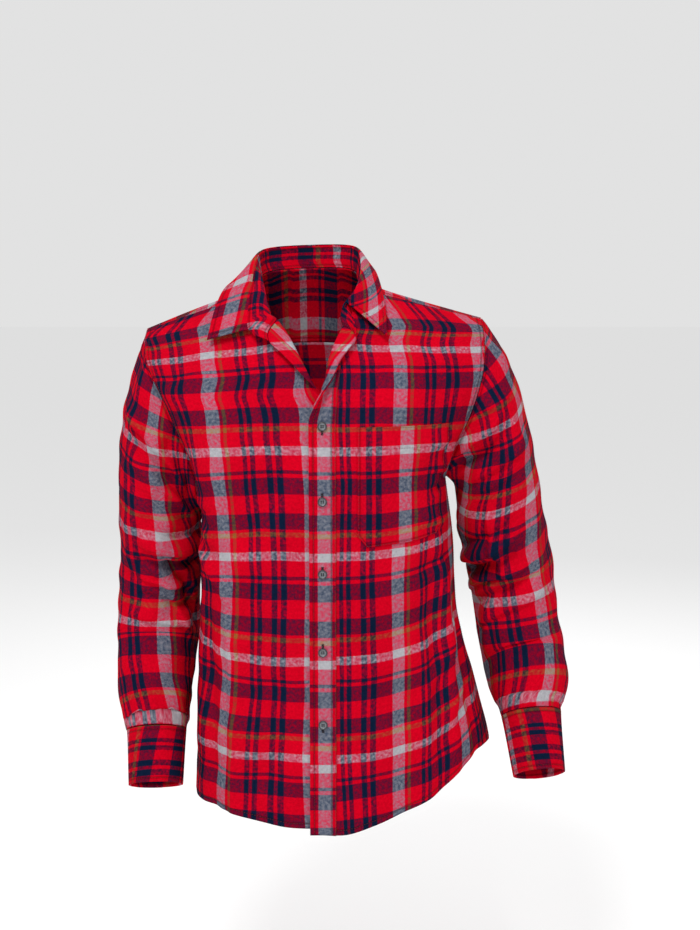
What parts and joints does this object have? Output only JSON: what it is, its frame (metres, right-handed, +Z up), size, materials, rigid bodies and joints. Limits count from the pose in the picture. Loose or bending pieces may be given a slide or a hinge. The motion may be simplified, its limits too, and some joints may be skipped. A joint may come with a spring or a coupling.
{
  "type": "long-sleeved flannel shirt",
  "caption": "Long-sleeved button-front plaid flannel shirt with a turned-down collar, chest pocket and buttoned cuffs, hollow as worn, open at the neck.",
  "frame": {"origin": "base of the neck, midway between the shoulder points, at the height of the side neck points, where the wearer's neck and shoulders hold the shirt", "axes": "+Z up, -Y out of the front, +X to the wearer's left"},
  "size_m": [0.6129, 0.2775, 0.77],
  "materials": {
    "back": "brushed plaid flannel",
    "front_right": "brushed plaid flannel",
    "front_left": "brushed plaid flannel",
    "button_band": "brushed plaid flannel",
    "pocket": "brushed plaid flannel",
    "yoke": "brushed plaid flannel",
    "sleeve_right": "brushed plaid flannel",
    "sleeve_left": "brushed plaid flannel",
    "sleeve_band_right": "brushed plaid flannel",
    "sleeve_band_left": "brushed plaid flannel",
    "cuff_right": "brushed plaid flannel",
    "cuff_left": "brushed plaid flannel",
    "collar_stand": "brushed plaid flannel",
    "collar_leaf": "brushed plaid flannel",
    "button_stand": "satin dark grey",
    "button_0": "satin dark grey",
    "button_1": "satin dark grey",
    "button_2": "satin dark grey",
    "button_3": "satin dark grey",
    "button_4": "satin dark grey",
    "button_5": "satin dark grey",
    "button_cuff_right": "satin dark grey",
    "button_cuff_left": "satin dark grey"
  },
  "bodies": {
    "root": {"back": "back", "front_right": "front_right", "front_left": "front_left", "button_band": "button_band", "pocket": "pocket", "yoke": "yoke", "sleeve_right": "sleeve_right", "sleeve_left": "sleeve_left", "sleeve_band_right": "sleeve_band_right", "sleeve_band_left": "sleeve_band_left", "cuff_right": "cuff_right", "cuff_left": "cuff_left", "collar_stand": "collar_stand", "collar_leaf": "collar_leaf", "button_stand": "button_stand", "button_0": "button_0", "button_1": "button_1", "button_2": "button_2", "button_3": "button_3", "button_4": "button_4", "button_5": "button_5", "button_cuff_right": "button_cuff_right", "button_cuff_left": "button_cuff_left"}
  },
  "joints": []
}
